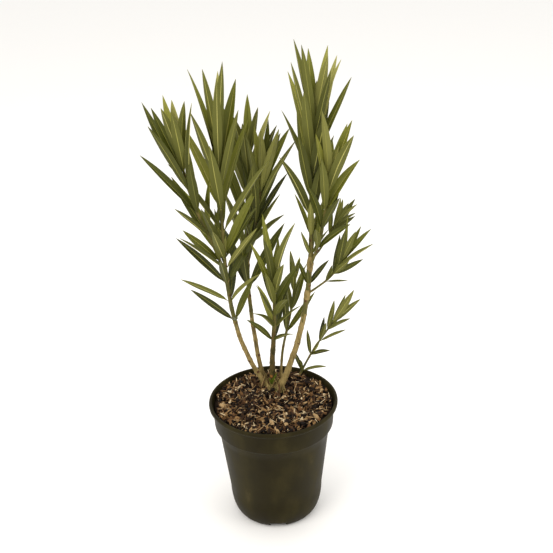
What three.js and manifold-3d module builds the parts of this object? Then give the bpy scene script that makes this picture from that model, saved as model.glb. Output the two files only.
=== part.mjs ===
// A young potted oleander: several slender leafy stems in a round nursery container.
// Units are millimetres and +Z is up. The origin is the centre of the container's underside.
// The stems stand in a clump behind the container's middle, on its +Y side.
import * as THREE from "three";
import { mergeVertices } from "three/addons/utils/BufferGeometryUtils.js";
import Module from "manifold-3d";

// Container sizes.
const POT_HEIGHT = 216;
const LIP_RADIUS = 108;
const LIP_FOOT_HEIGHT = 208;
const LIP_WIDTH = 5;
const LIP_ROUNDING = 2;
const COLLAR_TOP_RADIUS = 102;
const COLLAR_FOOT_RADIUS = 100;
const COLLAR_FOOT_HEIGHT = 174;
const BODY_TOP_RADIUS = 93.5;
const BODY_TOP_HEIGHT = 170;
const BODY_FOOT_RADIUS = 79;
const FOOT_CURVE_HEIGHT = 50;
const STANDING_RADIUS = 62;
const FOOT_CURVE_STEPS = 4;
const WALL = 2.5;
const FLOOR = 3;
const POT_SIDES = 40;

// Drain notches round the foot of the container.
const NOTCH_COUNT = 4;
const NOTCH_WIDTH = 26;
const NOTCH_HEIGHT = 9;
const NOTCH_INNER_RADIUS = 46;

// Potting mix. Each piece keeps a small clearance to its neighbours.
const CLEARANCE = 0.35;
const MIX_TOP = 210;
const MIX_EDGE_DROP = 2;
const MIX_EDGE_WIDTH = 4;
const MIX_EDGE_CLEAR = 10;
const MIX_SIDES = 20;

// Limbs are cut off level with the top of the mix and flare out there.
const LIMB_SIDES = 6;
const LIMB_RINGS = 8;
const LIMB_STEPS = 24;
const LIMB_RING_CROWDING = 1.3;
const FLARE_SHARE = 0.35;
const FLARE_LENGTH = 11;

// Foliage: pointed lobes in whorls round a core that follows the limb.
const LOBE_SIDES = 3;
const LOBE_STEPS = 8;
const LOBE_FULLNESS = [0, 1, 0.8, 0];
const SHORT_LOBE_FULLNESS = [0, 1, 0];
const SHORT_LOBE_LENGTH = 90;
const LOBE_HALF_THICKNESS = 4;
const LOBE_EXTRA_WIDTH = 3;
const LOBE_EDGE_GROWTH = 3;
const WHORL_CROWDING = 1.35;
const CORE_SIDES = 5;
const CORE_FULLNESS = [0, 0.8, 1, 0.6, 0];
const CORE_OVERRUN = 6;
const CORE_TOP_SHARE = 0.5;
const FULLEST_SHARE = 0.6;
const TURN_VARIATION = 16;
const REACH_VARIATION = 0.14;
const SPREAD_SHARE = 0.92;
const SPREAD_VARIATION = 0.15;
const ARCH_VARIATION = 0.7;

// Leaf blades turn part of the way round to face the front or the back, some more than others.
const FACING_SHARE = 0.5;
const FACING_VARIATION = 0.3;

const COLOURS = {
  pot: "#2b2a1b",
  mix: "#5b4632",
  oldWood: "#9c8a63",
  youngWood: "#8d9152",
  darkLeaf: "#565c2a",
  leaf: "#6c7438",
  paleLeaf: "#858a4e",
};

// Each limb leans sideways (towards +X) and back (towards +Y) by these degrees at even stations
// along its length. A stem has its foot at or just under the top of the mix. A bough starts part
// of the way along the limb it is on, and is bare of foliage for the length given.
const LIMBS = {
  stem_left: {
    foot: [-10, 50, 210], length: 420, side: [-30, -10, 0, 0], back: [-5, -5, 0, 0], radius: [4.2, 2.3],
  },
  stem_back: {
    foot: [-15, 60, 210], length: 390, side: [-10, -5, 5, 0], back: [10, 10, 5, 0], radius: [4.0, 2.1],
  },
  stem_middle: {
    foot: [0, 55, 210], length: 195, side: [0, 5, 0], back: [-10, -10, -5], radius: [5.2, 2.6],
  },
  stem_right: {
    foot: [10, 35, 210], length: 470, side: [25, 10, 0, 5], back: [0, 0, 0, 0], radius: [5.2, 2.4],
  },
  stem_inner: {
    foot: [15, 65, 210], length: 190, side: [0, 15, 5], back: [5, 5, 5], radius: [2.4, 1.6],
  },
  stem_low: {
    foot: [45, 80, 203], length: 120, side: [25, 35, 40], back: [15, 15, 15], radius: [2.0, 1.3],
  },
  bough_left: {
    on: "stem_left", at: 230, length: 215, bare: 30,
    side: [-15, -20, -5], back: [-5, -10, -5], radius: [2.5, 1.8],
  },
  bough_back: {
    on: "stem_back", at: 215, length: 150, bare: 40,
    side: [15, 10, 10], back: [-5, -5, -5], radius: [2.3, 1.6],
  },
  bough_upper: {
    on: "stem_right", at: 240, length: 150, bare: 35,
    side: [20, 10, 5], back: [-15, -10, -5], radius: [2.5, 1.7],
  },
  bough_side: {
    on: "stem_right", at: 250, length: 70, bare: 50,
    side: [45, 35, 35], back: [10, 20, 15], radius: [1.9, 1.4],
  },
  bough_lower: {
    on: "stem_right", at: 190, length: 85, bare: 40,
    side: [50, 45, 20], back: [-20, -20, -10], radius: [1.8, 1.3],
  },
};

// Each mass of foliage runs from one distance to another along its limb. Its whorls turn round
// the limb, and reach and spread run from the lowest whorl to the youngest. Spread and arch are
// degrees away from the limb.
const SHOOTS = {
  foliage_left_low: {
    on: "stem_left", from: 145, to: 260, whorls: 5, perWhorl: 3, turn: 240,
    reach: [85, 115, 115], spread: [50, 40], arch: 10, wide: 15, core: 6, seed: 1, colour: "darkLeaf",
  },
  foliage_left_centre: {
    on: "stem_left", from: 265, to: 420, whorls: 6, perWhorl: 3, turn: 0,
    reach: [140, 155, 150], spread: [35, 5], arch: 10, wide: 20, core: 16, seed: 2, colour: "leaf",
  },
  foliage_left: {
    on: "bough_left", from: 30, to: 215, whorls: 6, perWhorl: 3, turn: 30,
    reach: [80, 140, 100], spread: [25, 10], arch: 5, wide: 18, core: 14, seed: 3, colour: "paleLeaf",
  },
  foliage_back: {
    on: "stem_back", from: 170, to: 390, whorls: 6, perWhorl: 3, turn: 0,
    reach: [140, 140, 100], spread: [30, 15], arch: 5, wide: 18, core: 15, seed: 4, colour: "darkLeaf",
  },
  foliage_back_right: {
    on: "bough_back", from: 40, to: 150, whorls: 5, perWhorl: 3, turn: 60,
    reach: [80, 135, 100], spread: [25, 10], arch: 10, wide: 15, core: 12, seed: 5, colour: "leaf",
  },
  foliage_middle: {
    on: "stem_middle", from: 95, to: 195, whorls: 6, perWhorl: 3, turn: 30,
    reach: [70, 80, 120], spread: [35, 10], arch: 20, wide: 15, core: 10, seed: 6, colour: "darkLeaf",
  },
  foliage_right_top: {
    on: "stem_right", from: 320, to: 470, whorls: 7, perWhorl: 3, turn: 30,
    reach: [120, 150, 140], spread: [20, 15], arch: 10, wide: 18, core: 15, seed: 7, colour: "leaf",
  },
  foliage_right_upper: {
    on: "bough_upper", from: 35, to: 150, whorls: 5, perWhorl: 3, turn: 90,
    reach: [75, 110, 130], spread: [20, 10], arch: 15, wide: 18, core: 12, seed: 8, colour: "paleLeaf",
  },
  foliage_right_side: {
    on: "bough_side", from: 50, to: 70, whorls: 3, perWhorl: 3, turn: 30,
    reach: [55, 50, 50], spread: [25, 10], arch: 20, wide: 13, core: 8, seed: 9, colour: "leaf",
  },
  foliage_right_lower: {
    on: "bough_lower", from: 40, to: 85, whorls: 4, perWhorl: 3, turn: 60,
    reach: [45, 75, 70], spread: [35, 15], arch: 5, wide: 13, core: 8, seed: 10, colour: "darkLeaf",
  },
  foliage_low: {
    on: "stem_low", from: 15, to: 115, whorls: 5, perWhorl: 3, turn: 90,
    reach: [45, 50, 65], spread: [45, 10], arch: 20, wide: 13, core: 6, seed: 11, colour: "leaf",
  },
  foliage_inner: {
    on: "stem_inner", from: 90, to: 185, whorls: 4, perWhorl: 3, turn: 330,
    reach: [80, 70, 50], spread: [20, 10], arch: 5, wide: 13, core: 8, seed: 12, colour: "paleLeaf",
  },
  foliage_right_base: {
    on: "stem_right", from: 205, to: 290, whorls: 3, perWhorl: 3, turn: 240,
    reach: [50, 60, 75], spread: [30, 25], arch: 5, wide: 11, core: 8, seed: 13, colour: "darkLeaf",
  },
};

const MERGE_DISTANCE = 1e-4;

const wasm = await Module();
wasm.setup();

// Repeatable variation between -1 and 1, so that no two whorls are alike.
function vary(seed, count) {
  const wave = Math.sin(seed * 12.9898 + count * 78.233) * 43758.5453;
  return 2 * (wave - Math.floor(wave)) - 1;
}

// The value at a share of the way through a list of evenly spaced values.
function between(values, share) {
  const place = THREE.MathUtils.clamp(share, 0, 1) * (values.length - 1);
  const first = Math.min(Math.floor(place), values.length - 2);
  return THREE.MathUtils.lerp(values[first], values[first + 1], place - first);
}

function radians(degrees) {
  return THREE.MathUtils.degToRad(degrees);
}

// A path is a list of points at one even step. Past its ends it runs on straight.
function pointAt(path, distance) {
  const place = distance / path.step;
  const first = THREE.MathUtils.clamp(Math.floor(place), 0, path.points.length - 2);
  const start = path.points[first];
  const ahead = path.points[first + 1].clone().sub(start);
  return start.clone().addScaledVector(ahead, place - first);
}

function directionAt(path, distance) {
  const before = pointAt(path, distance - path.step);
  return pointAt(path, distance + path.step).sub(before).normalize();
}

function lengthOf(path) {
  return path.step * (path.points.length - 1);
}

// Walks a limb upwards from its start, leaning as its stations say.
function limbPath(limb, paths) {
  const start = limb.foot
    ? new THREE.Vector3(...limb.foot)
    : pointAt(paths[limb.on], limb.at);
  const step = limb.length / LIMB_STEPS;
  const points = [start];
  for (let i = 0; i < LIMB_STEPS; i += 1) {
    const share = (i + 0.5) / LIMB_STEPS;
    const side = Math.tan(radians(between(limb.side, share)));
    const back = Math.tan(radians(between(limb.back, share)));
    const heading = new THREE.Vector3(side, back, 1).normalize();
    points.push(points[i].clone().addScaledVector(heading, step));
  }
  return { points, step };
}

// Turns a closed geometry into a solid whose faces point outwards.
function toSolid(geometry) {
  geometry.deleteAttribute("normal");
  geometry.deleteAttribute("uv");
  const merged = mergeVertices(geometry, MERGE_DISTANCE);
  const corners = [];
  for (let i = 0; i < merged.index.count; i += 3) {
    const [a, b, c] = [0, 1, 2].map((k) => merged.index.getX(i + k));
    if (a !== b && b !== c && c !== a) {
      corners.push([a, b, c]);
    }
  }
  const positions = merged.attributes.position;
  const point = (i) => new THREE.Vector3().fromBufferAttribute(positions, i);
  let sixfoldVolume = 0;
  for (const [a, b, c] of corners) {
    sixfoldVolume += point(a).dot(point(b).cross(point(c)));
  }
  const outward = sixfoldVolume > 0 ? corners : corners.map(([a, b, c]) => [a, c, b]);
  const mesh = new wasm.Mesh({
    numProp: 3,
    vertProperties: new Float32Array(positions.array),
    triVerts: new Uint32Array(outward.flat()),
  });
  return new wasm.Manifold(mesh);
}

// Revolves a profile one unit tall and bends it on to a path, running past both its ends by the
// growth. The across direction sets which way its width lies.
function bend(profile, sides, path, across, halfWidth, halfThickness, growth) {
  const geometry = new THREE.LatheGeometry(profile, sides);
  const position = geometry.attributes.position;
  const length = lengthOf(path) + 2 * growth;
  for (let i = 0; i < position.count; i += 1) {
    const distance = position.getY(i) * length - growth;
    const heading = directionAt(path, distance);
    const wide = across.clone().addScaledVector(heading, -across.dot(heading)).normalize();
    const thick = heading.clone().cross(wide);
    const vertex = pointAt(path, distance);
    vertex.addScaledVector(wide, position.getX(i) * halfWidth);
    vertex.addScaledVector(thick, position.getZ(i) * halfThickness);
    position.setXYZ(i, vertex.x, vertex.y, vertex.z);
  }
  return toSolid(geometry);
}

// A tapering limb with flat ends, flaring at its foot if it stands on the potting mix.
function limbSolid(limb, path, growth) {
  const profile = [new THREE.Vector2(0, 0)];
  for (let i = 0; i <= LIMB_RINGS; i += 1) {
    const share = (i / LIMB_RINGS) ** LIMB_RING_CROWDING;
    const fade = Math.exp((-share * limb.length) / FLARE_LENGTH);
    const flare = limb.foot ? 1 + FLARE_SHARE * fade : 1;
    profile.push(new THREE.Vector2(between(limb.radius, share) * flare + growth, share));
  }
  profile.push(new THREE.Vector2(0, 1));
  const across = new THREE.Vector3(0, -1, 0);
  return bend(profile, LIMB_SIDES, path, across, 1, 1, growth);
}

// One pointed lobe of foliage, widest in the middle. Its section is a flat triangle, whose thin
// edges have to grow further than its faces to keep the same clearance.
function lobeSolid(path, across, halfWidth, growth) {
  const fullness = lengthOf(path) < SHORT_LOBE_LENGTH ? SHORT_LOBE_FULLNESS : LOBE_FULLNESS;
  const last = fullness.length - 1;
  const profile = fullness.map((full, i) => new THREE.Vector2(full, i / last));
  const grownWidth = halfWidth + LOBE_EDGE_GROWTH * growth;
  return bend(profile, LOBE_SIDES, path, across, grownWidth, LOBE_HALF_THICKNESS + growth, growth);
}

// The core that fills a mass round its limb.
function coreSolid(shoot, path, growth) {
  const last = CORE_FULLNESS.length - 1;
  const profile = CORE_FULLNESS.map((full, i) => new THREE.Vector2(full, i / last));
  const radius = shoot.core + growth;
  const low = shoot.from - CORE_OVERRUN;
  const high = shoot.to + CORE_TOP_SHARE * shoot.reach[2];
  const step = (high - low) / LIMB_STEPS;
  const points = [];
  for (let i = 0; i <= LIMB_STEPS; i += 1) {
    points.push(pointAt(path, low + i * step));
  }
  const across = new THREE.Vector3(0, -1, 0);
  return bend(profile, CORE_SIDES, { points, step }, across, radius, radius, growth);
}

// The way a blade's width lies: square to its opening, then turned towards the front or back.
function bladeAcross(upward, outward, heading, share) {
  const across = upward.clone().cross(outward).normalize();
  const normal = across.clone().cross(heading).normalize();
  const front = new THREE.Vector3(0, -1, 0);
  front.addScaledVector(heading, -front.dot(heading)).normalize();
  let turn = Math.atan2(normal.clone().cross(front).dot(heading), normal.dot(front));
  if (Math.abs(turn) > Math.PI / 2) {
    turn -= Math.sign(turn) * Math.PI;
  }
  return across.applyAxisAngle(heading, share * turn);
}

// The paths of every lobe in a mass: whorls up the limb, each turned against the one below.
function lobePaths(shoot, path) {
  const lobes = [];
  for (let whorl = 0; whorl < shoot.whorls; whorl += 1) {
    const rise = whorl / Math.max(shoot.whorls - 1, 1);
    const crowded = 1 - (1 - rise) ** WHORL_CROWDING;
    const distance = THREE.MathUtils.lerp(shoot.from, shoot.to, crowded);
    const start = pointAt(path, distance);
    const upward = directionAt(path, distance);
    const front = new THREE.Vector3(0, -1, 0);
    front.addScaledVector(upward, -front.dot(upward)).normalize();
    const right = front.clone().cross(upward).negate();
    const reach = rise < FULLEST_SHARE
      ? THREE.MathUtils.lerp(shoot.reach[0], shoot.reach[1], rise / FULLEST_SHARE)
      : THREE.MathUtils.lerp(shoot.reach[1], shoot.reach[2], (rise - FULLEST_SHARE) / (1 - FULLEST_SHARE));
    const spread = THREE.MathUtils.lerp(shoot.spread[0], shoot.spread[1], rise);
    for (let leaf = 0; leaf < shoot.perWhorl; leaf += 1) {
      const count = 4 * (whorl * shoot.perWhorl + leaf);
      const turn = shoot.turn + ((leaf + whorl / 2) * 360) / shoot.perWhorl;
      const heading = radians(turn + TURN_VARIATION * vary(shoot.seed, count));
      const outward = front.clone().multiplyScalar(Math.cos(heading));
      outward.addScaledVector(right, Math.sin(heading));
      const length = reach * (1 + REACH_VARIATION * vary(shoot.seed, count + 1));
      const opening = spread * (SPREAD_SHARE + SPREAD_VARIATION * vary(shoot.seed, count + 2));
      const arch = shoot.arch * (1 - rise / 2) * (1 + ARCH_VARIATION * vary(shoot.seed, count + 3));
      const step = length / LOBE_STEPS;
      const points = [start.clone()];
      for (let i = 0; i < LOBE_STEPS; i += 1) {
        const lean = radians(opening + (arch * (i + 0.5)) / LOBE_STEPS);
        const ahead = upward.clone().multiplyScalar(Math.cos(lean));
        ahead.addScaledVector(outward, Math.sin(lean));
        points.push(points[i].clone().addScaledVector(ahead, step));
      }
      const lobe = { points, step };
      const facing = FACING_SHARE + FACING_VARIATION * vary(shoot.seed, count + 0.5);
      lobes.push({ path: lobe, across: bladeAcross(upward, outward, directionAt(lobe, length / 2), facing) });
    }
  }
  return lobes;
}

// A mass of foliage: the core and its lobes joined into one solid.
function massSolid(shoot, path, growth) {
  let mass = coreSolid(shoot, path, growth);
  for (const lobe of lobePaths(shoot, path)) {
    mass = mass.add(lobeSolid(lobe.path, lobe.across, shoot.wide / 2 + LOBE_EXTRA_WIDTH, growth));
  }
  return mass;
}

// The largest body left after cutting.
function largest(solid) {
  return solid.decompose().reduce((best, piece) => (piece.volume() > best.volume() ? piece : best));
}

// Outer wall of the container, from its middle underneath to the top of its lip.
function potOutline(inset) {
  const outline = [[0, 0]];
  const sweep = BODY_FOOT_RADIUS - STANDING_RADIUS;
  for (let i = 0; i <= FOOT_CURVE_STEPS; i += 1) {
    const turn = (i / FOOT_CURVE_STEPS) * (Math.PI / 2);
    outline.push([
      STANDING_RADIUS + sweep * Math.sin(turn) - inset,
      FOOT_CURVE_HEIGHT * (1 - Math.cos(turn)),
    ]);
  }
  outline.push([BODY_TOP_RADIUS - inset, BODY_TOP_HEIGHT]);
  outline.push([COLLAR_FOOT_RADIUS - inset, COLLAR_FOOT_HEIGHT]);
  outline.push([COLLAR_TOP_RADIUS - inset, LIP_FOOT_HEIGHT]);
  return outline;
}

function potSolid() {
  const outer = potOutline(0).concat([
    [LIP_RADIUS - LIP_ROUNDING / 2, LIP_FOOT_HEIGHT + LIP_ROUNDING / 3],
    [LIP_RADIUS, LIP_FOOT_HEIGHT + LIP_ROUNDING],
    [LIP_RADIUS, POT_HEIGHT - LIP_ROUNDING],
    [LIP_RADIUS - LIP_ROUNDING, POT_HEIGHT],
    [LIP_RADIUS - LIP_WIDTH + LIP_ROUNDING / 2, POT_HEIGHT],
    [LIP_RADIUS - LIP_WIDTH, POT_HEIGHT - LIP_ROUNDING],
  ]);
  const inner = potOutline(WALL)
    .filter(([, height]) => height > FLOOR)
    .reverse();
  const floorEdge = inner[inner.length - 1][0] - WALL;
  inner.push([floorEdge, FLOOR], [0, FLOOR]);
  const profile = outer.concat(inner).map(([radius, height]) => new THREE.Vector2(radius, height));
  let pot = toSolid(new THREE.LatheGeometry(profile, POT_SIDES).rotateX(Math.PI / 2));
  const reach = BODY_FOOT_RADIUS - NOTCH_INNER_RADIUS;
  for (let i = 0; i < NOTCH_COUNT; i += 1) {
    const notch = new THREE.BoxGeometry(reach, NOTCH_WIDTH, 2 * NOTCH_HEIGHT);
    notch.translate(NOTCH_INNER_RADIUS + reach / 2, 0, 0);
    notch.rotateZ((i * 2 * Math.PI) / NOTCH_COUNT);
    pot = pot.subtract(toSolid(notch));
  }
  return pot;
}

// The potting mix fills the container and drops a little towards the wall. Growth lifts its top.
function mixSolid(growth) {
  const inner = potOutline(WALL + CLEARANCE).filter(([, height]) => height > FLOOR + CLEARANCE);
  const top = MIX_TOP + growth;
  const floor = FLOOR + CLEARANCE;
  const share = (MIX_TOP - COLLAR_FOOT_HEIGHT) / (LIP_FOOT_HEIGHT - COLLAR_FOOT_HEIGHT);
  const wallAtTop = THREE.MathUtils.lerp(COLLAR_FOOT_RADIUS, COLLAR_TOP_RADIUS, share);
  const edge = wallAtTop - WALL - 2 * CLEARANCE;
  const profile = [[0, floor], [inner[0][0] - WALL, floor]]
    .concat(inner.filter(([, height]) => height < MIX_TOP - MIX_EDGE_CLEAR))
    .concat([[edge, top - MIX_EDGE_DROP], [edge - MIX_EDGE_WIDTH, top], [0, top]]);
  const points = profile.map(([radius, height]) => new THREE.Vector2(radius, height));
  return toSolid(new THREE.LatheGeometry(points, MIX_SIDES).rotateX(Math.PI / 2));
}

function addMesh(group, name, solid, colour, roughness) {
  const { vertProperties, triVerts } = solid.getMesh();
  const geometry = new THREE.BufferGeometry();
  geometry.setAttribute("position", new THREE.BufferAttribute(new Float32Array(vertProperties), 3));
  geometry.setIndex(Array.from(triVerts));
  geometry.computeVertexNormals();
  const material = new THREE.MeshStandardMaterial({ color: colour, roughness, metalness: 0 });
  const mesh = new THREE.Mesh(geometry, material);
  mesh.name = name;
  group.add(mesh);
}

const group = new THREE.Group();
addMesh(group, "pot", potSolid(), COLOURS.pot, 0.55);
addMesh(group, "potting_mix", mixSolid(0), COLOURS.mix, 1);

// Limbs come first, each cut level with the mix and clear of the ones before it.
const paths = {};
const cutters = [mixSolid(CLEARANCE)];
for (const [name, limb] of Object.entries(LIMBS)) {
  paths[name] = limbPath(limb, paths);
  const fullPath = paths[name];
  const shown = limb.foot ? limb : { ...limb, length: limb.bare };
  const step = shown.length / LIMB_STEPS;
  const points = Array.from({ length: LIMB_STEPS + 1 }, (_, i) => pointAt(fullPath, i * step));
  let solid = limbSolid(shown, { points, step }, 0);
  for (const cutter of cutters) {
    solid = solid.subtract(cutter);
  }
  addMesh(group, name, largest(solid), limb.foot ? COLOURS.oldWood : COLOURS.youngWood, 0.8);
  cutters.push(limbSolid(shown, { points, step }, CLEARANCE));
}

// Then the masses of foliage, each cut round the limbs and the masses before it.
for (const [name, shoot] of Object.entries(SHOOTS)) {
  let solid = massSolid(shoot, paths[shoot.on], 0);
  for (const cutter of cutters) {
    solid = solid.subtract(cutter);
  }
  addMesh(group, name, largest(solid), COLOURS[shoot.colour], 0.6);
  cutters.push(massSolid(shoot, paths[shoot.on], CLEARANCE));
}

export default group;
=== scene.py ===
"""A young potted oleander in a round nursery container, dressed over its CAD frame."""

import math

import bmesh
import bpy
import numpy as np
from mathutils import Matrix, Vector


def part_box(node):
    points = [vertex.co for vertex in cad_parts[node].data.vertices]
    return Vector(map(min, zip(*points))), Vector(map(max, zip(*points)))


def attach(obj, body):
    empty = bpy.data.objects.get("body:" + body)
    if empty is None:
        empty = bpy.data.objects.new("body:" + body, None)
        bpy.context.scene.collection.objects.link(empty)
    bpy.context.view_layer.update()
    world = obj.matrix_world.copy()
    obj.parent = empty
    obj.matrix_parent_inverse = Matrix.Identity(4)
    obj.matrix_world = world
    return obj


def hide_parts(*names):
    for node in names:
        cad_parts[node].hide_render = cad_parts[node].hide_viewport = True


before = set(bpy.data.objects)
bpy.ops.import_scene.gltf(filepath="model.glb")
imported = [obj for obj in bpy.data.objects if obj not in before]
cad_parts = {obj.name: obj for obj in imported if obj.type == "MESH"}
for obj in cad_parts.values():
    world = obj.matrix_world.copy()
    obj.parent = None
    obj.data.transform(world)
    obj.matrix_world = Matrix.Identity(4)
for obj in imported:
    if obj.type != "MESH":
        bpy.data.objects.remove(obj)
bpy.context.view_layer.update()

MM = 0.001

# ---------------------------------------------------------------- camera and stage

# Metres, degrees and millimetres of lens.
CAMERA_PLACE = (0.0, -1.45, 1.15)
CAMERA_PITCH = 26.0
CAMERA_PAN = 0.5
CAMERA_ROLL = 2.0
CAMERA_LENS = 66.5

MIX_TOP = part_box("potting_mix")[1][2] / MM


def make_camera():
    """Looks down on the plant from the front."""
    data = bpy.data.cameras.new("camera")
    data.sensor_width = 36.0
    data.lens = CAMERA_LENS
    camera = bpy.data.objects.new("camera", data)
    bpy.context.scene.collection.objects.link(camera)
    pitch, pan, roll = (math.radians(a) for a in (CAMERA_PITCH, CAMERA_PAN, CAMERA_ROLL))
    ahead = Vector((math.sin(pan) * math.cos(pitch), math.cos(pan) * math.cos(pitch), -math.sin(pitch)))
    right = Vector((math.cos(pan), -math.sin(pan), 0.0))
    up = right.cross(ahead)
    rolled_right = math.cos(roll) * right - math.sin(roll) * up
    rolled_up = math.sin(roll) * right + math.cos(roll) * up
    camera.matrix_world = Matrix((
        (rolled_right[0], rolled_up[0], -ahead[0], CAMERA_PLACE[0]),
        (rolled_right[1], rolled_up[1], -ahead[1], CAMERA_PLACE[1]),
        (rolled_right[2], rolled_up[2], -ahead[2], CAMERA_PLACE[2]),
        (0.0, 0.0, 0.0, 1.0),
    ))
    bpy.context.scene.camera = camera


def make_floor():
    """A plain pale studio floor."""
    size = 6.0
    mesh = bpy.data.meshes.new("floor")
    corners = [(-size, -size, 0), (size, -size, 0), (size, size, 0), (-size, size, 0)]
    mesh.from_pydata(corners, [], [(0, 1, 2, 3)])
    floor = bpy.data.objects.new("floor", mesh)
    bpy.context.scene.collection.objects.link(floor)
    material = bpy.data.materials.new("studio_floor")
    material.use_nodes = True
    shader = material.node_tree.nodes["Principled BSDF"]
    shader.inputs["Base Color"].default_value = (0.93, 0.925, 0.915, 1)
    shader.inputs["Roughness"].default_value = 0.9
    shader.inputs["Specular IOR Level"].default_value = 0.1
    mesh.materials.append(material)


def make_light(name, place, size, power, colour):
    data = bpy.data.lights.new(name, "AREA")
    data.shape = "RECTANGLE"
    data.size, data.size_y = size
    data.energy = power
    data.color = colour
    light = bpy.data.objects.new(name, data)
    light.location = place
    aim = Vector((0, 0.03, 0.4)) - Vector(place)
    light.rotation_mode = "QUATERNION"
    light.rotation_quaternion = aim.to_track_quat("-Z", "Y")
    bpy.context.scene.collection.objects.link(light)


def make_lights():
    """Soft light from the front, the side and above, in a pale surround."""
    bpy.context.scene.view_settings.view_transform = "Standard"
    world = bpy.data.worlds.new("studio")
    bpy.context.scene.world = world
    world.use_nodes = True
    sky = world.node_tree.nodes["Background"]
    sky.inputs["Color"].default_value = (1.0, 0.985, 0.96, 1)
    sky.inputs["Strength"].default_value = 1.0
    make_light("key", (-1.5, -1.6, 2.3), (1.6, 1.6), 34.0, (1.0, 0.96, 0.9))
    make_light("fill", (1.9, -1.0, 1.5), (1.4, 1.4), 16.0, (1.0, 0.97, 0.93))
    make_light("top", (0.1, 0.5, 2.6), (1.6, 1.6), 16.0, (1.0, 0.98, 0.95))


# ---------------------------------------------------------------- growth tables

# Limbs lean sideways (+X) and back (+Y) by these degrees at even stations. A stem has its foot
# at or just under the top of the mix. A bough starts part of the way along the limb it is on.
LIMBS = {
    "stem_left": dict(foot=(-10, 50, 210), length=420, side=(-30, -10, 0, 0), back=(-5, -5, 0, 0),
                radius=(4.2, 2.3)),
    "stem_back": dict(foot=(-15, 60, 210), length=390, side=(-10, -5, 5, 0), back=(10, 10, 5, 0),
                radius=(4.0, 2.1)),
    "stem_middle": dict(foot=(0, 55, 210), length=195, side=(0, 5, 0), back=(-10, -10, -5),
                radius=(5.2, 2.6)),
    "stem_right": dict(foot=(10, 35, 210), length=470, side=(25, 10, 0, 5), back=(0, 0, 0, 0),
                radius=(5.2, 2.4)),
    "stem_inner": dict(foot=(15, 65, 210), length=190, side=(0, 15, 5), back=(5, 5, 5),
                radius=(2.4, 1.6)),
    "stem_low": dict(foot=(45, 80, 203), length=120, side=(25, 35, 40), back=(15, 15, 15),
                radius=(2.0, 1.3)),
    "bough_left": dict(on="stem_left", at=230, length=215, side=(-15, -20, -5), back=(-5, -10, -5),
                radius=(2.5, 1.8)),
    "bough_back": dict(on="stem_back", at=215, length=150, side=(15, 10, 10), back=(-5, -5, -5),
                radius=(2.3, 1.6)),
    "bough_upper": dict(on="stem_right", at=240, length=150, side=(20, 10, 5), back=(-15, -10, -5),
                radius=(2.5, 1.7)),
    "bough_side": dict(on="stem_right", at=250, length=70, side=(45, 35, 35), back=(10, 20, 15),
                radius=(1.9, 1.4)),
    "bough_lower": dict(on="stem_right", at=190, length=85, side=(50, 45, 20), back=(-20, -20, -10),
                radius=(1.8, 1.3)),
}

# Shoots: whorls of leaves from one distance to another along a limb. Reach is the leaf's length
# and spread its angle off the limb, from the lowest whorl to the youngest. Age and shade runs from 0
# for pale young foliage, partly painted light, to 1 for dark old foliage, partly painted shade on
# the low, back and inner masses. Facing, where it is given, is how far the blades turn
# round towards the front or back.
SHOOTS = {
    "foliage_left_low": dict(on="stem_left", start=145, end=260, whorls=5, turn=240,
        reach=(85, 115, 115), spread=(50, 40), arch=10, wide=15, age_and_shade=0.8, seed=1),
    "foliage_left_centre": dict(on="stem_left", start=265, end=420, whorls=6, turn=0,
        reach=(140, 155, 150), spread=(35, 5), arch=10, wide=20, age_and_shade=0.4, seed=2),
    "foliage_left": dict(on="bough_left", start=30, end=215, whorls=6, turn=30,
        reach=(80, 140, 100), spread=(25, 10), arch=5, wide=18, age_and_shade=0.4, seed=3),
    "foliage_back": dict(on="stem_back", start=170, end=390, whorls=6, turn=0,
        reach=(140, 140, 100), spread=(30, 15), arch=5, wide=18, age_and_shade=0.7, seed=4),
    "foliage_back_right": dict(on="bough_back", start=40, end=150, whorls=5, turn=60,
        reach=(80, 135, 100), spread=(25, 10), arch=10, wide=15, age_and_shade=0.5, seed=5),
    "foliage_middle": dict(on="stem_middle", start=95, end=195, whorls=6, turn=30,
        reach=(70, 80, 120), spread=(35, 10), arch=20, wide=15, age_and_shade=0.6, seed=6),
    "foliage_right_top": dict(on="stem_right", start=320, end=470, whorls=7, turn=30,
        reach=(120, 150, 140), spread=(20, 15), arch=10, wide=18, age_and_shade=0.3, seed=7),
    "foliage_right_upper": dict(on="bough_upper", start=35, end=150, whorls=5, turn=90,
        reach=(75, 110, 130), spread=(20, 10), arch=15, wide=18, age_and_shade=0.4, seed=8),
    "foliage_right_side": dict(on="bough_side", start=50, end=70, whorls=3, turn=30,
        reach=(55, 50, 50), spread=(25, 10), arch=20, wide=13, age_and_shade=0.5, seed=9),
    "foliage_right_lower": dict(on="bough_lower", start=40, end=85, whorls=4, turn=60,
        reach=(45, 75, 70), spread=(35, 15), arch=5, wide=13, age_and_shade=0.6, seed=10),
    "foliage_low": dict(on="stem_low", start=15, end=115, whorls=5, turn=90,
        reach=(45, 50, 65), spread=(45, 10), arch=20, wide=13, age_and_shade=0.6, seed=11,
        facing=0.85),
    "foliage_inner": dict(on="stem_inner", start=90, end=185, whorls=4, turn=330,
        reach=(80, 70, 50), spread=(20, 10), arch=5, wide=13, age_and_shade=0.6, seed=12),
    "foliage_right_base": dict(on="stem_right", start=205, end=290, whorls=3, turn=240,
        reach=(50, 60, 75), spread=(30, 25), arch=5, wide=11, age_and_shade=0.7, seed=13),
}

LEAVES_PER_WHORL = 3
FRONT = np.array([0.0, -1.0, 0.0])
LIMB_STEPS = 24
FACING_SHARE = 0.5
FACING_VARIATION = 0.3
WHORL_CROWDING = 1.35
FULLEST_SHARE = 0.6
TURN_VARIATION = 16
REACH_VARIATION = 0.14
SPREAD_SHARE = 0.92
SPREAD_VARIATION = 0.15
ARCH_VARIATION = 0.7


def vary(seed, count):
    """Repeatable variation between -1 and 1."""
    wave = math.sin(seed * 12.9898 + count * 78.233) * 43758.5453
    return 2 * (wave - math.floor(wave)) - 1


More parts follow.
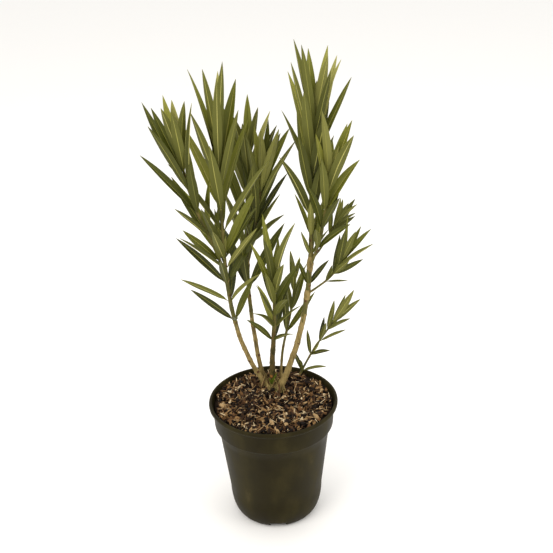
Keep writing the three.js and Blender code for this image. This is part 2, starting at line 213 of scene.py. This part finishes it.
def between(values, share):
    return float(np.interp(share, np.linspace(0, 1, len(values)), values))


def unit(v):
    return v / np.linalg.norm(v)


class Path:
    """Points at one even step, running on straight past both ends."""

    def __init__(self, points, step):
        self.points = np.array(points, float)
        self.step = step
        self.length = step * (len(points) - 1)

    def at(self, distance):
        place = distance / self.step
        first = int(min(max(math.floor(place), 0), len(self.points) - 2))
        return self.points[first] + (self.points[first + 1] - self.points[first]) * (place - first)

    def heading(self, distance):
        return unit(self.at(distance + self.step) - self.at(distance - self.step))


def limb_path(limb, paths):
    if "foot" in limb:
        start = np.array(limb["foot"], float)
    else:
        start = paths[limb["on"]].at(limb["at"])
    step = limb["length"] / LIMB_STEPS
    points = [start]
    for i in range(LIMB_STEPS):
        share = (i + 0.5) / LIMB_STEPS
        side = math.tan(math.radians(between(limb["side"], share)))
        back = math.tan(math.radians(between(limb["back"], share)))
        points.append(points[-1] + unit(np.array([side, back, 1.0])) * step)
    return Path(points, step)


def whorls_of(shoot, path):
    """Every leaf of a shoot: where it starts, the limb's heading there, which way it opens and how."""
    for whorl in range(shoot["whorls"]):
        rise = whorl / max(shoot["whorls"] - 1, 1)
        distance = shoot["start"] + (shoot["end"] - shoot["start"]) * (1 - (1 - rise) ** WHORL_CROWDING)
        start, upward = path.at(distance), path.heading(distance)
        front = unit(FRONT - upward * FRONT.dot(upward))
        right = np.cross(upward, front)
        reach = float(np.interp(rise, [0, FULLEST_SHARE, 1], shoot["reach"]))
        spread = shoot["spread"][0] + (shoot["spread"][1] - shoot["spread"][0]) * rise
        for leaf in range(LEAVES_PER_WHORL):
            number = whorl * LEAVES_PER_WHORL + leaf
            count = 4 * number
            turn = shoot["turn"] + (leaf + whorl / 2) * 360 / LEAVES_PER_WHORL
            heading = math.radians(turn + TURN_VARIATION * vary(shoot["seed"], count))
            facing = shoot.get("facing", FACING_SHARE)
            yield dict(
                number=number, rise=rise, start=start, upward=upward,
                outward=math.cos(heading) * front + math.sin(heading) * right,
                length=reach * (1 + REACH_VARIATION * vary(shoot["seed"], count + 1)),
                opening=spread * (SPREAD_SHARE + SPREAD_VARIATION * vary(shoot["seed"], count + 2)),
                arch=shoot["arch"] * (1 - rise / 2) * (1 + ARCH_VARIATION * vary(shoot["seed"], count + 3)),
                facing=facing + FACING_VARIATION * vary(shoot["seed"], count + 0.5),
            )


# ---------------------------------------------------------------- materials

def linear(rgb):
    """Linear colour from 0-255 display values."""
    out = [v / 255 for v in rgb]
    return tuple(v / 12.92 if v <= 0.04045 else ((v + 0.055) / 1.055) ** 2.4 for v in out) + (1.0,)


def new_material(name, colour, roughness, specular=0.5):
    material = bpy.data.materials.new(name)
    material.use_nodes = True
    nodes = material.node_tree.nodes
    shader = nodes["Principled BSDF"]
    shader.inputs["Base Color"].default_value = linear(colour)
    shader.inputs["Roughness"].default_value = roughness
    shader.inputs["Specular IOR Level"].default_value = specular
    return material, nodes, material.node_tree.links, shader


def add_noise(nodes, links, scale, detail=4.0, stretch=(1, 1, 1)):
    place = nodes.new("ShaderNodeTexCoord")
    mapping = nodes.new("ShaderNodeMapping")
    mapping.inputs["Scale"].default_value = stretch
    links.new(place.outputs["Object"], mapping.inputs["Vector"])
    noise = nodes.new("ShaderNodeTexNoise")
    noise.inputs["Scale"].default_value = scale
    noise.inputs["Detail"].default_value = detail
    links.new(mapping.outputs["Vector"], noise.inputs["Vector"])
    return noise


def add_bump(nodes, links, shader, source, strength, distance):
    bump = nodes.new("ShaderNodeBump")
    bump.inputs["Strength"].default_value = strength
    bump.inputs["Distance"].default_value = distance
    links.new(source.outputs[0], bump.inputs["Height"])
    links.new(bump.outputs["Normal"], shader.inputs["Normal"])


def vary_roughness(nodes, links, shader, source, low, high):
    spread = nodes.new("ShaderNodeMapRange")
    spread.inputs["From Min"].default_value = 0.3
    spread.inputs["From Max"].default_value = 0.7
    spread.inputs["To Min"].default_value = low
    spread.inputs["To Max"].default_value = high
    links.new(source.outputs[0], spread.inputs["Value"])
    links.new(spread.outputs["Result"], shader.inputs["Roughness"])


def plain_material(name, colour, roughness=0.6, scale=900.0, bump=0.15, specular=0.4):
    """One plain colour, with its fine surface in bump and roughness."""
    material, nodes, links, shader = new_material(name, colour, roughness, specular)
    noise = add_noise(nodes, links, scale)
    add_bump(nodes, links, shader, noise, bump, 0.0004)
    vary_roughness(nodes, links, shader, noise, roughness - 0.08, roughness + 0.1)
    return material


def tinted(name, tints, *look):
    """One plain material for each tint of a kind."""
    return [plain_material(f"{name}_{i}", tint, *look) for i, tint in enumerate(tints)]


def ramp_material(name, stops, scale, roughness, bump, stretch=(1, 1, 1), specular=0.4, distance=0.0006):
    """Colours that drift with a noise, from (place, colour) stops."""
    material, nodes, links, shader = new_material(name, stops[0][1], roughness, specular)
    noise = add_noise(nodes, links, scale, 6.0, stretch)
    ramp = nodes.new("ShaderNodeValToRGB")
    elements = ramp.color_ramp.elements
    while len(elements) < len(stops):
        elements.new(0.5)
    for element, (place, colour) in zip(elements, stops):
        element.position = place
        element.color = linear(colour)
    links.new(noise.outputs["Fac"], ramp.inputs["Fac"])
    links.new(ramp.outputs["Color"], shader.inputs["Base Color"])
    fine = add_noise(nodes, links, scale * 6, 4.0, stretch)
    add_bump(nodes, links, shader, fine, bump, distance)
    vary_roughness(nodes, links, shader, noise, roughness - 0.08, roughness + 0.1)
    return material


# ---------------------------------------------------------------- mesh helpers

def add_object(name, vertices, faces, materials, slots=None, smooth=True, sharp_angle=None):
    """A mesh object from points in millimetres."""
    mesh = bpy.data.meshes.new(name)
    mesh.from_pydata((np.asarray(vertices) * MM).tolist(), [], [list(f) for f in faces])
    for material in materials:
        mesh.materials.append(material)
    if slots is not None:
        mesh.polygons.foreach_set("material_index", np.asarray(slots, np.int32))
    mesh.polygons.foreach_set("use_smooth", np.full(len(mesh.polygons), smooth))
    if sharp_angle is not None:
        mesh.set_sharp_from_angle(angle=math.radians(sharp_angle))
    mesh.update()
    piece = bpy.data.objects.new(name, mesh)
    bpy.context.scene.collection.objects.link(piece)
    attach(piece, "root")
    return piece


class Bag:
    """Gathers many small shapes into one mesh."""

    def __init__(self):
        self.vertices, self.faces, self.slots, self.count = [], [], [], 0

    def add(self, vertices, faces, slots):
        self.vertices.append(np.asarray(vertices, float))
        self.faces.extend(tuple(int(i) + self.count for i in face) for face in faces)
        self.slots.extend(slots if hasattr(slots, "__len__") else [slots] * len(faces))
        self.count += len(vertices)

    def build(self, name, materials, **looks):
        return add_object(name, np.vstack(self.vertices), self.faces, materials, self.slots, **looks)


# ---------------------------------------------------------------- leaves

LEAF_STEPS = 18
LEAF_COLUMNS = np.array([-1.0, -0.55, -0.075, 0.0, 0.075, 0.55, 1.0])
MIDRIB_COLUMNS = (2, 3)
MIDRIB_GROOVE = 0.08
WIDEST_SHARE = 0.47
STALK_RINGS = 1
LEAF_THICKNESS = 0.35
TIP_LEAVES = 5
SMALL_LEAF_FACING = 0.4

# Besides the leaves' own tone, the darkest tints carry painted shade and the palest painted light; the
# undersides and midribs are dealt the same way.
LEAF_TINTS = [
    (34, 38, 8), (52, 56, 12), (72, 76, 18), (92, 95, 26), (112, 114, 38), (134, 134, 54), (156, 153, 84),
]
UNDER_TINTS = [(72, 74, 26), (94, 95, 40), (116, 115, 56)]
RIB_TINTS = [(108, 108, 44), (134, 132, 58), (160, 156, 78), (182, 176, 100)]


def leaf_width(share):
    """Half width of a lance-shaped leaf as a share of its fullest."""
    rise = (share / WIDEST_SHARE) ** (WIDEST_SHARE * 1.75)
    fall = ((1 - share) / (1 - WIDEST_SHARE)) ** ((1 - WIDEST_SHARE) * 1.75)
    stalk = 0.22 + 0.78 * np.clip((share - 0.02) / 0.13, 0, 1) ** 1.3
    return np.clip(rise * fall, 0, 1) * stalk


def leaf_faces():
    """Faces of one closed blade, each with its ring and its zone."""
    columns = len(LEAF_COLUMNS)
    under = (LEAF_STEPS + 1) * columns
    faces, zones = [], []
    for ring in range(LEAF_STEPS):
        for column in range(columns - 1):
            a = ring * columns + column
            b, d, e = a + 1, a + columns, a + columns + 1
            rib = column in MIDRIB_COLUMNS
            faces += [(a, d, e, b), (a + under, b + under, e + under, d + under)]
            zones += [(ring, "rib" if rib else "top"), (ring, "under_rib" if rib else "under")]
        a, d = ring * columns, (ring + 1) * columns
        faces.append((a, a + under, d + under, d))
        a, d = a + columns - 1, d + columns - 1
        faces.append((a, d, d + under, a + under))
        zones += [(ring, "top"), (ring, "top")]
    for column in range(columns - 1):
        a, tip = column, LEAF_STEPS * columns + column
        faces += [(a, a + 1, a + 1 + under, a + under), (tip, tip + under, tip + 1 + under, tip + 1)]
        zones += [(0, "top"), (LEAF_STEPS - 1, "top")]
    return faces, zones


LEAF_FACES, LEAF_ZONES = leaf_faces()


def facing_turn(across, heading):
    """Angle that turns a blade right round to face the front or the back."""
    normal = unit(np.cross(across, heading))
    front = unit(FRONT - heading * heading.dot(FRONT))
    turn = math.atan2(np.cross(normal, front).dot(heading), normal.dot(front))
    if abs(turn) > math.pi / 2:
        turn -= math.copysign(math.pi, turn)
    return turn


def leaf_slots(shade, under, rib):
    """Material slot of every face: top, underside, and a paler midrib and stalk."""
    under_slot = len(LEAF_TINTS) + under
    rib_slot = len(LEAF_TINTS) + len(UNDER_TINTS) + rib
    of_zone = {"top": shade, "under": under_slot, "rib": rib_slot, "under_rib": rib_slot}
    return [rib_slot if ring < STALK_RINGS else of_zone[zone] for ring, zone in LEAF_ZONES]


def add_leaf(bag, leaf, half_width, slots, rng):
    """One folded, arching leaf blade with thickness."""
    steps = LEAF_STEPS
    upward, outward = leaf["upward"], leaf["outward"]
    across = unit(np.cross(upward, outward))
    droop = rng.normal(0, 2.0)
    sway = rng.normal(0, 0.02) * leaf["length"]
    twist = math.radians(rng.normal(0, 9))
    fold = math.tan(math.radians(rng.uniform(9, 26)))
    wave, wave_turn = rng.uniform(0.02, 0.08), rng.uniform(0, 6.28)
    points, headings = [leaf["start"]], []
    for i in range(steps):
        share = (i + 0.5) / steps
        lean = math.radians(leaf["opening"] + leaf["arch"] * share + droop * (share - 0.5) * 2)
        headings.append(math.cos(lean) * upward + math.sin(lean) * outward)
        points.append(points[-1] + headings[-1] * leaf["length"] / steps)
    headings.append(headings[-1])
    facing = leaf["facing"] * facing_turn(across, headings[steps // 2])
    shares = np.linspace(0, 1, steps + 1)
    widths = half_width * leaf_width(shares)
    widths[0] = max(widths[0], 0.9)
    widths[-1] = 0.12
    top, under = [], []
    for share, point, heading, width in zip(shares, points, headings, widths):
        angle = facing * min(share / 0.2, 1) + twist * share
        wide = math.cos(angle) * across + math.sin(angle) * np.cross(heading, across)
        lift = np.cross(heading, wide)
        middle = point + across * sway * share ** 2
        for u in LEAF_COLUMNS:
            height = fold * abs(u) ** 1.15 - MIDRIB_GROOVE * (u == 0)
            height += wave * math.sin(9 * share + wave_turn + (1.5 if u > 0 else 0)) * abs(u)
            vertex = middle + (wide * u + lift * height) * width
            top.append(vertex)
            under.append(vertex - lift * LEAF_THICKNESS)
    bag.add(np.array(top + under), LEAF_FACES, slots)


def tip_leaves_of(shoot, path, rng):
    """Small young leaves held together at the growing tip."""
    start, upward = path.at(shoot["end"]), path.heading(shoot["end"])
    front = unit(FRONT - upward * FRONT.dot(upward))
    right = np.cross(upward, front)
    for number in range(TIP_LEAVES):
        turn = math.radians(number * 137.5 + rng.uniform(-15, 15))
        yield dict(rise=1.2, start=start, upward=upward,
                   outward=math.cos(turn) * front + math.sin(turn) * right,
                   length=shoot["reach"][2] * rng.uniform(0.3, 0.62), opening=rng.uniform(3, 10),
                   arch=rng.uniform(0, 8), facing=SMALL_LEAF_FACING)


def leaf_materials():
    """Tops, undersides and ribs, in the order that leaf_slots counts them."""
    tops = tinted("leaf_top", LEAF_TINTS, 0.5, 700.0, 0.12, 0.25)
    unders = tinted("leaf_under", UNDER_TINTS, 0.62, 900.0, 0.15, 0.18)
    ribs = tinted("leaf_rib", RIB_TINTS, 0.5, 900.0, 0.1, 0.25)
    return tops + unders + ribs


def make_leaves(paths, materials):
    """Each mass of foliage becomes one piece: its whorls of leaves and the young ones at its tip."""
    for name, shoot in SHOOTS.items():
        rng = np.random.default_rng(1000 + shoot["seed"])
        path = paths[shoot["on"]]
        bag = Bag()
        for leaf in list(whorls_of(shoot, path)) + list(tip_leaves_of(shoot, path, rng)):
            # Painted light and shade: tints get paler up each shoot and at the tips, and darker on the
            # older, shaded masses low down, at the back and inside. The underside and midrib tints follow.
            brightness = 3.3 - 1.9 * shoot["age_and_shade"] + 1.6 * leaf["rise"]
            shade = int(np.clip(round(rng.normal(brightness, 1.15)), 0, len(LEAF_TINTS) - 1))
            under = int(np.clip(round(rng.normal(0.2 + 1.1 * leaf["rise"], 0.6)), 0, len(UNDER_TINTS) - 1))
            rib = int(np.clip(round(shade / 2 + rng.normal(0, 0.7)), 0, len(RIB_TINTS) - 1))
            half = min(shoot["wide"] / 2 * rng.uniform(0.7, 0.98), leaf["length"] * 0.08)
            add_leaf(bag, leaf, half, leaf_slots(shade, under, rib), rng)
        piece = bag.build(name.replace("foliage", "leaves"), materials, sharp_angle=55)
        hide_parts(name)


# ---------------------------------------------------------------- stems

STEM_SIDES = 16
STEM_STEP = 2.2
NODE_GAP = 27.0
FOOT_FLARE = 0.6
FOOT_FLARE_LENGTH = 9.0
COLLAR_SWELL = 0.3
COLLAR_LENGTH = 9.0
GREEN_FROM = {"stem_middle": 0.6, "stem_inner": 0.2, "stem_low": 0.1}
USUAL_GREEN_FROM = 0.3
SCARRED_FROM = -0.1
BOUGH_GREEN_FROM = 0.06


def make_stem(name, limb, path, forks, materials):
    """A tapering stem with swollen nodes, leaf scars, a flared foot and collars at its forks."""
    rng = np.random.default_rng(len(name) * 31 + limb["length"])
    ground = "foot" in limb
    steps = int(limb["length"] / STEM_STEP)
    phase = rng.uniform(0, NODE_GAP)
    green_from = GREEN_FROM.get(name, USUAL_GREEN_FROM) if ground else BOUGH_GREEN_FROM
    vertices, faces, slots = [], [], []
    for ring in range(steps + 1):
        distance = limb["length"] * ring / steps
        share = ring / steps
        heading = path.heading(distance)
        wide = unit(FRONT + heading * heading[1])
        thick = np.cross(heading, wide)
        radius = between(limb["radius"], share)
        if ground:
            radius *= 1 + FOOT_FLARE * math.exp(-distance / FOOT_FLARE_LENGTH)
        for fork in forks:
            radius *= 1 + COLLAR_SWELL * math.exp(-((distance - fork) / COLLAR_LENGTH) ** 2)
        from_node = (distance + phase + NODE_GAP / 2) % NODE_GAP - NODE_GAP / 2
        radius *= 1 + 0.13 * math.exp(-(from_node / 2.4) ** 2)
        if share > 0.985:
            radius *= 0.75
        ribbing = 0.07 if ground else 0.03
        for s in range(STEM_SIDES):
            turn = 2 * math.pi * s / STEM_SIDES
            rough = 1 + ribbing * math.sin(3 * turn + distance * 0.11) + rng.normal(0, 0.022)
            outward = wide * math.cos(turn) + thick * math.sin(turn)
            vertices.append(path.at(distance) + outward * radius * rough)
    for ring in range(steps):
        distance = limb["length"] * (ring + 0.5) / steps
        node = math.floor((distance + phase + NODE_GAP / 2) / NODE_GAP)
        from_node = (distance + phase + NODE_GAP / 2) % NODE_GAP - NODE_GAP / 2
        at_fork = any(abs(distance - fork) < COLLAR_LENGTH for fork in forks)
        for s in range(STEM_SIDES):
            a, b = ring * STEM_SIDES + s, ring * STEM_SIDES + (s + 1) % STEM_SIDES
            faces.append((a, b, b + STEM_SIDES, a + STEM_SIDES))
            scar_turn = (360 * s / STEM_SIDES + 60 * node) % 120
            scarred = abs(from_node) < 2.0 and scar_turn < 50 and vary(limb["length"], node) > SCARRED_FROM
            green = ring / steps + 0.03 * math.sin(s + 0.7 * node) > green_from and not at_fork
            slots.append(2 if scarred else 1 if green else 0)
    faces.append(tuple(reversed(range(STEM_SIDES))))
    faces.append(tuple(range(steps * STEM_SIDES, (steps + 1) * STEM_SIDES)))
    slots += [0, 1]
    piece = add_object(name.replace("stem", "bark_stem").replace("bough", "bark_bough"), vertices, faces,
                       materials, slots)
    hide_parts(name)


def make_stems(paths):
    """Every limb in its bark. The middle stem is darker than the others, with orange-brown scars."""
    old_bark = ramp_material(
        "old_bark",
        [(0.3, (92, 78, 42)), (0.45, (126, 108, 62)), (0.58, (148, 128, 80)), (0.7, (108, 94, 50))],
        170.0, 0.75, 0.5, (1, 1, 0.35), 0.25)
    young_bark = ramp_material(
        "young_bark",
        [(0.3, (62, 62, 22)), (0.5, (88, 84, 34)), (0.7, (112, 98, 48))],
        140.0, 0.65, 0.3, (1, 1, 0.3), 0.3)
    dark_bark = ramp_material(
        "dark_bark",
        [(0.3, (50, 46, 18)), (0.45, (74, 66, 30)), (0.58, (96, 78, 40)), (0.7, (66, 62, 26))],
        170.0, 0.75, 0.5, (1, 1, 0.35), 0.25)
    scar = plain_material("leaf_scar", (84, 58, 36), 0.8, 1200.0, 0.3, 0.2)
    bright_scar = plain_material("leaf_scar_orange", (158, 102, 48), 0.8, 1200.0, 0.3, 0.2)
    for name, limb in LIMBS.items():
        forks = [other["at"] for other in LIMBS.values() if other.get("on") == name]
        dark = name == "stem_middle"
        barks = [dark_bark, young_bark, bright_scar] if dark else [old_bark, young_bark, scar]
        make_stem(name, limb, paths[name], forks, barks)
    make_root_crown(paths, [old_bark, young_bark, scar])


CROWN_RADIUS = 21
CROWN_HEIGHT = 7.5
CROWN_SUNK = 1.5
CROWN_FIBRES = 150


def make_root_crown(paths, materials):
    """The woody crown that the main stems rise from, with loose strips of bark on it."""
    rng = np.random.default_rng(7)
    feet = [paths[name].at(0) for name in ("stem_left", "stem_back", "stem_middle", "stem_right")]
    centre = np.mean(feet, axis=0)
    rings, sides = 12, 40
    vertices, faces = [], []
    for ring in range(rings + 1):
        share = ring / rings
        for s in range(sides):
            turn = 2 * math.pi * s / sides
            radius = CROWN_RADIUS * share * (1 + 0.14 * math.sin(3 * turn + 1) + 0.07 * math.sin(7 * turn))
            ridges = 0.5 * math.sin(11 * turn) * share + rng.normal(0, 0.25)
            height = CROWN_HEIGHT * (1 - share ** 1.6) + ridges - CROWN_SUNK
            vertices.append((centre[0] + radius * math.cos(turn), centre[1] + radius * math.sin(turn) * 0.9,
                             MIX_TOP + height))
    for ring in range(rings):
        for s in range(sides):
            a, b = ring * sides + s, ring * sides + (s + 1) % sides
            faces.append((a, a + sides, b + sides, b))
    crown = add_object("root_crown", vertices, faces, materials)
    bag = Bag()
    for _ in range(CROWN_FIBRES):
        foot = feet[int(rng.integers(len(feet)))]
        turn = rng.uniform(0, 2 * math.pi)
        out = np.array([math.cos(turn), math.sin(turn), 0.0])
        side = np.array([-out[1], out[0], 0.0])
        top = foot + out * rng.uniform(4.4, 6.0) + np.array([0, 0, rng.uniform(3, 24)])
        bottom = foot + out * rng.uniform(7, 17) + side * rng.normal(0, 4)
        bottom[2] = MIX_TOP + rng.uniform(0.0, 4.0)
        middle = (top + bottom) / 2 - out * rng.uniform(0, 2.0) + side * rng.normal(0, 1.5)
        half = rng.uniform(0.5, 1.3)
        strip = []
        for point, share in ((top, 0.25), (middle, 1.0), (bottom, 0.5)):
            strip += [point - side * half * share, point + side * half * share,
                      point + side * half * share - out * 0.5, point - side * half * share - out * 0.5]
        sides_of = [(0, 3, 2, 1), (8, 9, 10, 11)]
        for k in (0, 4):
            sides_of += [(k, k + 1, k + 5, k + 4), (k + 1, k + 2, k + 6, k + 5),
                         (k + 2, k + 3, k + 7, k + 6), (k + 3, k, k + 4, k + 7)]
        bag.add(np.array(strip), sides_of, int(rng.choice([0, 0, 0, 1, 2])))
    fibres = bag.build("root_crown_fibres", materials, smooth=False)


def make_sprout(paths):
    """A tuft of small fresh leaves at the foot of the middle stem."""
    rng = np.random.default_rng(19)
    fresh = plain_material("leaf_fresh", (98, 118, 26), 0.5, 700.0, 0.1, 0.3)
    start = paths["stem_middle"].at(0) + FRONT * 6.0
    bag = Bag()
    for number in range(6):
        turn = math.radians(-70 + 28 * number + rng.uniform(-8, 8))
        leaf = dict(start=start + np.array([rng.normal(0, 1.0), rng.normal(0, 0.6), rng.uniform(0, 9)]),
                    upward=np.array([0.0, 0.0, 1.0]),
                    outward=math.cos(turn) * FRONT + math.sin(turn) * np.array([1.0, 0.0, 0.0]),
                    length=rng.uniform(13, 25), opening=rng.uniform(8, 34), arch=rng.uniform(5, 25),
                    facing=SMALL_LEAF_FACING)
        add_leaf(bag, leaf, rng.uniform(1.8, 2.8), 0, rng)
    piece = bag.build("sprout_leaves", [fresh], sharp_angle=55)


# ---------------------------------------------------------------- container

POT_SIDES = 240
FOOT_STEPS = 12
BODY_STEPS = 8
STANDING_RADIUS = 62
BODY_FOOT_RADIUS = 79
BODY_TOP_RADIUS = 93.5
FOOT_CURVE_HEIGHT = 50
BODY_TOP_HEIGHT = 168
NOTCH_HALF_WIDTH = 13.0
NOTCH_HEIGHT = 9.0
NOTCH_INNER_RADIUS = 46.0


def pot_outline():
    """Radius and height round the container, from its middle underneath to inside the rim."""
    outline = [(0, 0), (30, 0), (NOTCH_INNER_RADIUS - 0.4, 0), (NOTCH_INNER_RADIUS + 0.4, 0), (60, 0)]
    for i in range(FOOT_STEPS + 1):
        turn = i / FOOT_STEPS * math.pi / 2
        radius = STANDING_RADIUS + (BODY_FOOT_RADIUS - STANDING_RADIUS) * math.sin(turn)
        outline.append((radius, FOOT_CURVE_HEIGHT * (1 - math.cos(turn))))
    for i in range(1, BODY_STEPS + 1):
        radius = BODY_FOOT_RADIUS + (BODY_TOP_RADIUS - BODY_FOOT_RADIUS) * i / BODY_STEPS
        outline.append((radius, FOOT_CURVE_HEIGHT + (BODY_TOP_HEIGHT - FOOT_CURVE_HEIGHT) * i / BODY_STEPS))
    outline += [(94.6, 169.2), (98.4, 172.2), (99.8, 173.6), (100.1, 175.5)]
    outline += [(100.9, 190), (101.6, 203), (102.0, 206.6), (103.6, 208.2), (106.6, 208.9), (107.8, 210.2)]
    outline += [(108.0, 212.4), (107.5, 214.6), (106.2, 215.8)]
    outline += [(104.6, 216.0), (103.3, 215.4), (102.7, 213.8)]
    outline += [(101.4, 209.5), (100.1, 206), (99.3, 200), (98.2, 188)]
    return outline


def make_pot():
    """The container, with a drain notch raised in its foot on each of its four sides."""
    outline = pot_outline()
    vertices, faces = [], []
    for radius, height in outline:
        for s in range(POT_SIDES):
            turn = 2 * math.pi * s / POT_SIDES
            x, y = radius * math.sin(turn), -radius * math.cos(turn)
            in_notch = min(abs(x), abs(y)) < NOTCH_HALF_WIDTH and radius > NOTCH_INNER_RADIUS
            vertices.append((x, y, max(height, NOTCH_HEIGHT) if in_notch else height))
    for k in range(len(outline) - 1):
        for s in range(POT_SIDES):
            a, b = k * POT_SIDES + s, k * POT_SIDES + (s + 1) % POT_SIDES
            faces.append((a, b, b + POT_SIDES, a + POT_SIDES))
    plastic = ramp_material(
        "container_plastic",
        [(0.28, (26, 22, 10)), (0.5, (34, 30, 14)), (0.68, (46, 41, 21)), (0.8, (68, 60, 36))],
        26.0, 0.5, 0.12, (1, 1, 0.6), 0.1, 0.0004)
    plastic.node_tree.nodes["Principled BSDF"].inputs["Specular Tint"].default_value = (1.0, 0.86, 0.52, 1)
    piece = add_object("container", vertices, faces, [plastic], sharp_angle=40)
    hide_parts("pot")


# ---------------------------------------------------------------- bark mix

def hull_template(rng, size):
    """A small angular chunk: the hull of a few scattered points."""
    shape = bmesh.new()
    for _ in range(11):
        p = rng.normal(size=3)
        p /= np.linalg.norm(p)
        shape.verts.new((p * rng.uniform(0.75, 1.0, 3) * np.array(size)).tolist())
    hull = bmesh.ops.convex_hull(shape, input=shape.verts)
    bmesh.ops.delete(shape, geom=[v for v in hull["geom_interior"]], context="VERTS")
    shape.verts.index_update()
    vertices = np.array([v.co[:] for v in shape.verts])
    faces = [tuple(v.index for v in f.verts) for f in shape.faces]
    shape.free()
    return vertices, faces


def turned(rng, flatness):
    """A random rotation, kept near level by flatness."""
    yaw = rng.uniform(0, 2 * math.pi)
    pitch = rng.normal(0, flatness)
    roll = rng.normal(0, flatness)
    cz, sz, cy, sy, cx, sx = (math.cos(yaw), math.sin(yaw), math.cos(pitch), math.sin(pitch),
                              math.cos(roll), math.sin(roll))
    turn_z = np.array([[cz, -sz, 0], [sz, cz, 0], [0, 0, 1]])
    turn_y = np.array([[cy, 0, sy], [0, 1, 0], [-sy, 0, cy]])
    turn_x = np.array([[1, 0, 0], [0, cx, -sx], [0, sx, cx]])
    return turn_z @ turn_y @ turn_x


CHIP_TINTS = [
    (16, 8, 3), (36, 23, 12), (66, 44, 24), (100, 71, 41), (130, 100, 62), (162, 134, 94), (204, 182, 144),
]
CHUNKS = 1900
SLIVERS = 460
CHIP_SPREAD = 97.0
HIGHEST_CHIP = 8
BED_RADIUS = 98.6
BED_DEPTH = 3.4
CHIP_SHARES = [0.24, 0.21, 0.21, 0.15, 0.1, 0.06, 0.03]
MIX_RADIUS = 98.8
BACK_HEAP = 2.5


def heap_at(y):
    """How much higher the mix lies here: it is heaped towards the back of the container."""
    return BACK_HEAP * min(max(y / MIX_RADIUS, 0.0), 1.0)


def bed_lumps(x, y):
    """Low lumps that keep the bed under the chips from lying flat."""
    broad = math.sin(x * 0.11 + 1.3) * math.sin(y * 0.13)
    return broad + 0.6 * math.sin(x * 0.31) * math.cos(y * 0.27)


def make_mix():
    """A dark bed, near black partly as painted shade in the gaps, with loose chunks and slivers of bark on
    it.
    """
    rng = np.random.default_rng(42)
    # The bed's near-black is partly the soil's own colour and partly painted shade in the gaps between the
    # chips.
    bed = ramp_material("mix_bed_and_gap_shade", [(0.3, (14, 9, 5)), (0.55, (30, 20, 12)), (0.75, (50, 34, 21))],
                        120.0, 0.95, 0.8, (1, 1, 1), 0.1, 0.002)
    rings, sides = 30, 96
    vertices, faces = [], []
    for k in range(rings + 1):
        radius = BED_RADIUS * (k / rings) ** 0.8
        for s in range(sides):
            turn = 2 * math.pi * s / sides
            x, y = radius * math.cos(turn), radius * math.sin(turn)
            vertices.append((x, y, MIX_TOP - BED_DEPTH + bed_lumps(x, y) + heap_at(y)))
    for k in range(rings):
        for s in range(sides):
            a, b = k * sides + s, k * sides + (s + 1) % sides
            faces.append((a, b, b + sides, a + sides))
    piece = add_object("mix_bed_and_gap_shade", vertices, faces, [bed])
    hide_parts("potting_mix")
    tints = tinted("bark_chip", CHIP_TINTS, 0.8, 500.0, 0.5, 0.2)
    chunks = [hull_template(rng, (rng.uniform(4, 9.5), rng.uniform(2.2, 5), rng.uniform(1.0, 2.8)))
              for _ in range(24)]
    slivers = [hull_template(rng, (rng.uniform(7, 17), rng.uniform(0.8, 1.6), rng.uniform(0.5, 1.0)))
               for _ in range(12)]
    kinds = [
        ("bark_chunks", chunks, CHUNKS, 0.6, 0, (-2.5, 1.8)),
        ("bark_slivers", slivers, SLIVERS, 0.28, 1, (-0.3, 2.4)),
    ]
    for name, templates, number, flatness, paler, rise in kinds:
        bag = Bag()
        for _ in range(number):
            radius = CHIP_SPREAD * math.sqrt(rng.uniform(0, 1))
            turn = rng.uniform(0, 2 * math.pi)
            body, sides_of = templates[int(rng.integers(len(templates)))]
            size = rng.uniform(0.4, 1.2)
            points = body @ turned(rng, flatness).T * size
            x, y = radius * math.cos(turn), radius * math.sin(turn)
            points = points + np.array([x, y, MIX_TOP + heap_at(y) + rng.uniform(*rise)])
            reach = np.hypot(points[:, 0], points[:, 1])
            if reach.max() > MIX_RADIUS or points[:, 2].max() > MIX_TOP + HIGHEST_CHIP:
                continue
            tint = int(rng.choice(len(CHIP_TINTS), p=CHIP_SHARES))
            tint = min(tint + paler * int(rng.integers(1, 4)), len(CHIP_TINTS) - 1)
            bag.add(points, sides_of, tint)
        piece = bag.build(name, tints, smooth=False)


make_camera()
make_floor()
make_lights()
PATHS = {}
for limb_name, limb_facts in LIMBS.items():
    PATHS[limb_name] = limb_path(limb_facts, PATHS)
make_pot()
make_mix()
make_stems(PATHS)
make_leaves(PATHS, leaf_materials())
make_sprout(PATHS)
